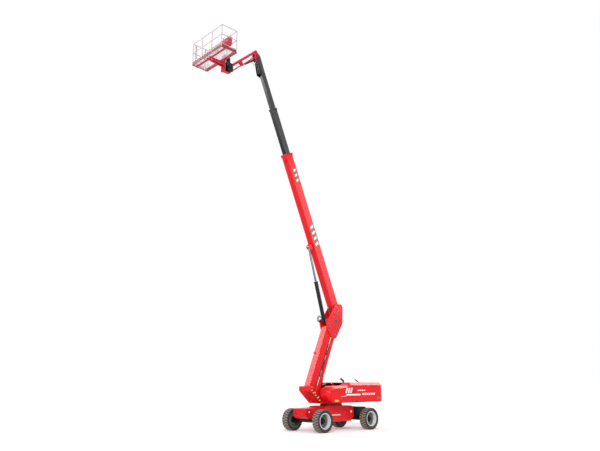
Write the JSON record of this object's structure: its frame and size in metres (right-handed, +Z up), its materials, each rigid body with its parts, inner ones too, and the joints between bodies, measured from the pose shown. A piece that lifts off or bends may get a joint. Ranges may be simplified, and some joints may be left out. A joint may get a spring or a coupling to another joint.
{
  "type": "articulating telescopic boom lift",
  "caption": "Self-propelled boom lift on four wheels: slewing turntable, folding lower boom, telescopic main boom, jib and rotating work platform.",
  "frame": {"origin": "on the ground, under the centre of the machine's overall length and width with its booms raised", "axes": "+X to the front of the machine, where the platform reaches; +Y to its left; +Z up"},
  "size_m": [11.1, 2.53, 18.878],
  "materials": {
    "red_paint": "gloss",
    "chassis_paint": "gloss",
    "boom_grey": "satin",
    "black_paint": "satin",
    "tyre_rubber": "matt",
    "rim_paint": "satin",
    "rod_chrome": "polished",
    "floor_metal": "satin",
    "bare_steel": "machined",
    "engine_iron": "rough",
    "rail_paint": "satin",
    "console_plastic": "satin",
    "amber_lens": "gloss",
    "hose_rubber": "matt",
    "control_black": "satin"
  },
  "bodies": {
    "chassis": {"chassis_frame": "chassis_paint", "axles": "black_paint", "slew_ring": "bare_steel", "tie_down_lugs": "red_paint"},
    "turntable": {"turntable_frame": "red_paint", "counterweight": "red_paint", "engine_block": "engine_iron", "tanks": "black_paint", "exhaust_pipe": "black_paint", "tank_breather": "black_paint"},
    "left_hood": {"left_hood": "red_paint", "left_hood_lamp": "amber_lens", "left_hood_latch": "control_black"},
    "right_hood": {"right_hood": "red_paint", "right_hood_lamp": "amber_lens", "right_hood_latch": "control_black"},
    "lower_boom": {"lower_boom": "red_paint"},
    "level_link": {"level_link": "red_paint"},
    "upright": {"upright": "red_paint", "upright_hose": "hose_rubber"},
    "main_boom": {"main_boom": "red_paint"},
    "mid_boom": {"mid_boom": "boom_grey"},
    "fly_boom": {"fly_boom": "boom_grey", "boom_head": "boom_grey", "head_hose": "hose_rubber"},
    "jib_bracket": {"jib_bracket": "red_paint"},
    "jib_arm": {"jib_arm": "red_paint"},
    "jib_link": {"jib_link": "red_paint"},
    "jib_head": {"jib_head": "black_paint", "rotary_actuator": "black_paint"},
    "platform": {"platform_support": "red_paint", "platform_floor": "floor_metal", "platform_rails": "rail_paint", "control_console": "console_plastic", "console_controls": "control_black"},
    "platform_gate": {"platform_gate": "rail_paint"},
    "front_left_knuckle": {"front_left_knuckle": "black_paint"},
    "front_left_wheel": {"front_left_tyre": "tyre_rubber", "front_left_rim": "rim_paint"},
    "front_right_knuckle": {"front_right_knuckle": "black_paint"},
    "front_right_wheel": {"front_right_tyre": "tyre_rubber", "front_right_rim": "rim_paint"},
    "rear_left_knuckle": {"rear_left_knuckle": "black_paint"},
    "rear_left_wheel": {"rear_left_tyre": "tyre_rubber", "rear_left_rim": "rim_paint"},
    "rear_right_knuckle": {"rear_right_knuckle": "black_paint"},
    "rear_right_wheel": {"rear_right_tyre": "tyre_rubber", "rear_right_rim": "rim_paint"},
    "lower_lift_barrel": {"lower_lift_barrel": "black_paint"},
    "lower_lift_rod": {"lower_lift_rod": "rod_chrome"},
    "main_lift_barrel": {"main_lift_barrel": "black_paint"},
    "main_lift_rod": {"main_lift_rod": "rod_chrome"},
    "master_level_barrel": {"master_level_barrel": "red_paint"},
    "master_level_rod": {"master_level_rod": "rod_chrome"},
    "tip_level_barrel": {"tip_level_barrel": "black_paint"},
    "tip_level_rod": {"tip_level_rod": "rod_chrome"},
    "jib_lift_barrel": {"jib_lift_barrel": "black_paint"},
    "jib_lift_rod": {"jib_lift_rod": "rod_chrome"}
  },
  "joints": [
    {"name": "slew", "type": "hinge", "parent": "chassis", "child": "turntable", "pos_m": [-2.72, 0, 1.3], "axis": [0, 0, 1], "continuous": true},
    {"name": "front_left_steer", "type": "hinge", "parent": "chassis", "child": "front_left_knuckle", "pos_m": [-1.065, 0.8, 0.53], "axis": [0, 0, 1], "range_deg": [-30, 30]},
    {"name": "front_left_spin", "type": "hinge", "parent": "front_left_knuckle", "child": "front_left_wheel", "pos_m": [-1.065, 1.06, 0.53], "axis": [0, 1, 0], "continuous": true},
    {"name": "front_right_steer", "type": "hinge", "parent": "chassis", "child": "front_right_knuckle", "pos_m": [-1.065, -0.8, 0.53], "axis": [0, 0, 1], "range_deg": [-30.01, 30.01]},
    {"name": "front_right_spin", "type": "hinge", "parent": "front_right_knuckle", "child": "front_right_wheel", "pos_m": [-1.065, -1.06, 0.53], "axis": [0, 1, 0], "continuous": true},
    {"name": "rear_left_steer", "type": "hinge", "parent": "chassis", "child": "rear_left_knuckle", "pos_m": [-4.375, 0.8, 0.53], "axis": [0, 0, 1], "range_deg": [-30, 30]},
    {"name": "rear_left_spin", "type": "hinge", "parent": "rear_left_knuckle", "child": "rear_left_wheel", "pos_m": [-4.375, 1.06, 0.53], "axis": [0, 1, 0], "continuous": true},
    {"name": "rear_right_steer", "type": "hinge", "parent": "chassis", "child": "rear_right_knuckle", "pos_m": [-4.375, -0.8, 0.53], "axis": [0, 0, 1], "range_deg": [-30.01, 30.01]},
    {"name": "rear_right_spin", "type": "hinge", "parent": "rear_right_knuckle", "child": "rear_right_wheel", "pos_m": [-4.375, -1.06, 0.53], "axis": [0, 1, 0], "continuous": true},
    {"name": "left_hood_open", "type": "hinge", "parent": "turntable", "child": "left_hood", "pos_m": [-4.62, 0.52, 2.232], "axis": [1, 0, 0], "range_deg": [0, 65]},
    {"name": "right_hood_open", "type": "hinge", "parent": "turntable", "child": "right_hood", "pos_m": [-4.62, -0.52, 2.232], "axis": [-1, 0, 0], "range_deg": [0, 65]},
    {"name": "lower_lift", "type": "hinge", "parent": "turntable", "child": "lower_boom", "pos_m": [-1.219, 0, 2.01], "axis": [0, 1, 0], "range_deg": [-67, 5]},
    {"name": "level_link_turn", "type": "hinge", "parent": "turntable", "child": "level_link", "pos_m": [-1.539, 0, 1.63], "axis": [0, 1, 0], "range_deg": [-67.01, 5]},
    {"name": "upright_level", "type": "hinge", "parent": "lower_boom", "child": "upright", "pos_m": [-2.49, 0, 5], "axis": [0, 1, 0], "range_deg": [-5, 67.01]},
    {"name": "main_lift", "type": "hinge", "parent": "upright", "child": "main_boom", "pos_m": [-3.02, 0, 6], "axis": [0, -1, 0], "range_deg": [-70, 8.5]},
    {"name": "telescope", "type": "slide", "parent": "main_boom", "child": "mid_boom", "axis": [0.3987, 0, 0.9171], "range_m": [-1.68, 2.6]},
    {"name": "fly_slide", "type": "slide", "parent": "mid_boom", "child": "fly_boom", "axis": [0.3987, 0, 0.9171], "range_m": [-1.681, 2.601]},
    {"name": "jib_bracket_level", "type": "hinge", "parent": "fly_boom", "child": "jib_bracket", "pos_m": [2.45881, 0, 18.6004], "axis": [0, -1, 0], "range_deg": [-8.5, 70.01]},
    {"name": "jib_lift", "type": "hinge", "parent": "jib_bracket", "child": "jib_arm", "pos_m": [2.61081, 0, 18.79941], "axis": [0, -1, 0], "range_deg": [-20, 105]},
    {"name": "jib_link_turn", "type": "hinge", "parent": "jib_bracket", "child": "jib_link", "pos_m": [2.61081, 0, 18.4994], "axis": [0, -1, 0], "range_deg": [-20, 105.01]},
    {"name": "jib_head_level", "type": "hinge", "parent": "jib_arm", "child": "jib_head", "pos_m": [4.08081, 0, 17.4494], "axis": [0, -1, 0], "range_deg": [-105.01, 20]},
    {"name": "platform_rotate", "type": "hinge", "parent": "jib_head", "child": "platform", "pos_m": [4.26081, 0, 17.02], "axis": [0, 0, 1], "range_deg": [-90, 90]},
    {"name": "gate_open", "type": "hinge", "parent": "platform", "child": "platform_gate", "pos_m": [4.8453, -1.2, 17.46], "axis": [0, 0, 1], "range_deg": [0, 90]},
    {"name": "lower_lift_barrel_turn", "type": "hinge", "parent": "turntable", "child": "lower_lift_barrel", "pos_m": [-1.87, 0, 1.484], "axis": [0, -1, 0], "range_deg": [-5.15, 69.02]},
    {"name": "lower_lift_rod_slide", "type": "slide", "parent": "lower_lift_barrel", "child": "lower_lift_rod", "axis": [-0.1909, 0, 0.9816], "range_m": [-0.91311, 0.06907]},
    {"name": "main_lift_barrel_turn", "type": "hinge", "parent": "upright", "child": "main_lift_barrel", "pos_m": [-2.28, 0, 5.36], "axis": [0, -1, 0], "range_deg": [-72.25, 8.77]},
    {"name": "main_lift_rod_slide", "type": "slide", "parent": "main_lift_barrel", "child": "main_lift_rod", "axis": [0.2761, 0, 0.9611], "range_m": [-1.09323, 0.13363]},
    {"name": "master_level_barrel_turn", "type": "hinge", "parent": "upright", "child": "master_level_barrel", "pos_m": [-2.846, 0, 5.015], "axis": [0, -1, 0], "range_deg": [-0.92, 7.56]},
    {"name": "master_level_rod_slide", "type": "slide", "parent": "master_level_barrel", "child": "master_level_rod", "axis": [0.2016, 0, 0.9795], "range_m": [-0.42128, 0.05203]},
    {"name": "tip_level_barrel_turn", "type": "hinge", "parent": "fly_boom", "child": "tip_level_barrel", "pos_m": [2.30568, 0, 17.6965], "axis": [0, -1, 0], "range_deg": [-12.04, 1.46]},
    {"name": "tip_level_rod_slide", "type": "slide", "parent": "tip_level_barrel", "child": "tip_level_rod", "axis": [0.3337, 0, 0.9427], "range_m": [-0.04165, 0.33575]},
    {"name": "jib_lift_barrel_turn", "type": "hinge", "parent": "jib_bracket", "child": "jib_lift_barrel", "pos_m": [2.58081, 0, 18.3794], "axis": [0, -1, 0], "range_deg": [-19.28, 101.23]},
    {"name": "jib_lift_rod_slide", "type": "slide", "parent": "jib_lift_barrel", "child": "jib_lift_rod", "axis": [0.7949, 0, -0.6067], "range_m": [-0.12038, 0.62775]}
  ],
  "couplings": [
    {"joint": "front_right_steer", "follows": "front_left_steer", "ratio": 1},
    {"joint": "rear_right_steer", "follows": "rear_left_steer", "ratio": 1},
    {"joint": "level_link_turn", "follows": "lower_lift", "ratio": 1},
    {"joint": "upright_level", "follows": "lower_lift", "ratio": -1},
    {"joint": "fly_slide", "follows": "telescope", "ratio": 1},
    {"joint": "jib_bracket_level", "follows": "main_lift", "ratio": -1},
    {"joint": "jib_link_turn", "follows": "jib_lift", "ratio": 1},
    {"joint": "jib_head_level", "follows": "jib_lift", "ratio": -1},
    {"joint": "lower_lift_barrel_turn", "follows": "lower_lift", "ratio": -1.03},
    {"joint": "lower_lift_rod_slide", "follows": "lower_lift", "m_per_rad": 0.78},
    {"joint": "main_lift_barrel_turn", "follows": "main_lift", "ratio": 1.032},
    {"joint": "main_lift_rod_slide", "follows": "main_lift", "m_per_rad": 0.894},
    {"joint": "master_level_barrel_turn", "follows": "main_lift", "ratio": -0.108},
    {"joint": "master_level_rod_slide", "follows": "main_lift", "m_per_rad": 0.344},
    {"joint": "tip_level_barrel_turn", "follows": "main_lift", "ratio": 0.172},
    {"joint": "tip_level_rod_slide", "follows": "main_lift", "m_per_rad": -0.274},
    {"joint": "jib_lift_barrel_turn", "follows": "jib_lift", "ratio": 0.964},
    {"joint": "jib_lift_rod_slide", "follows": "jib_lift", "m_per_rad": 0.342}
  ]
}
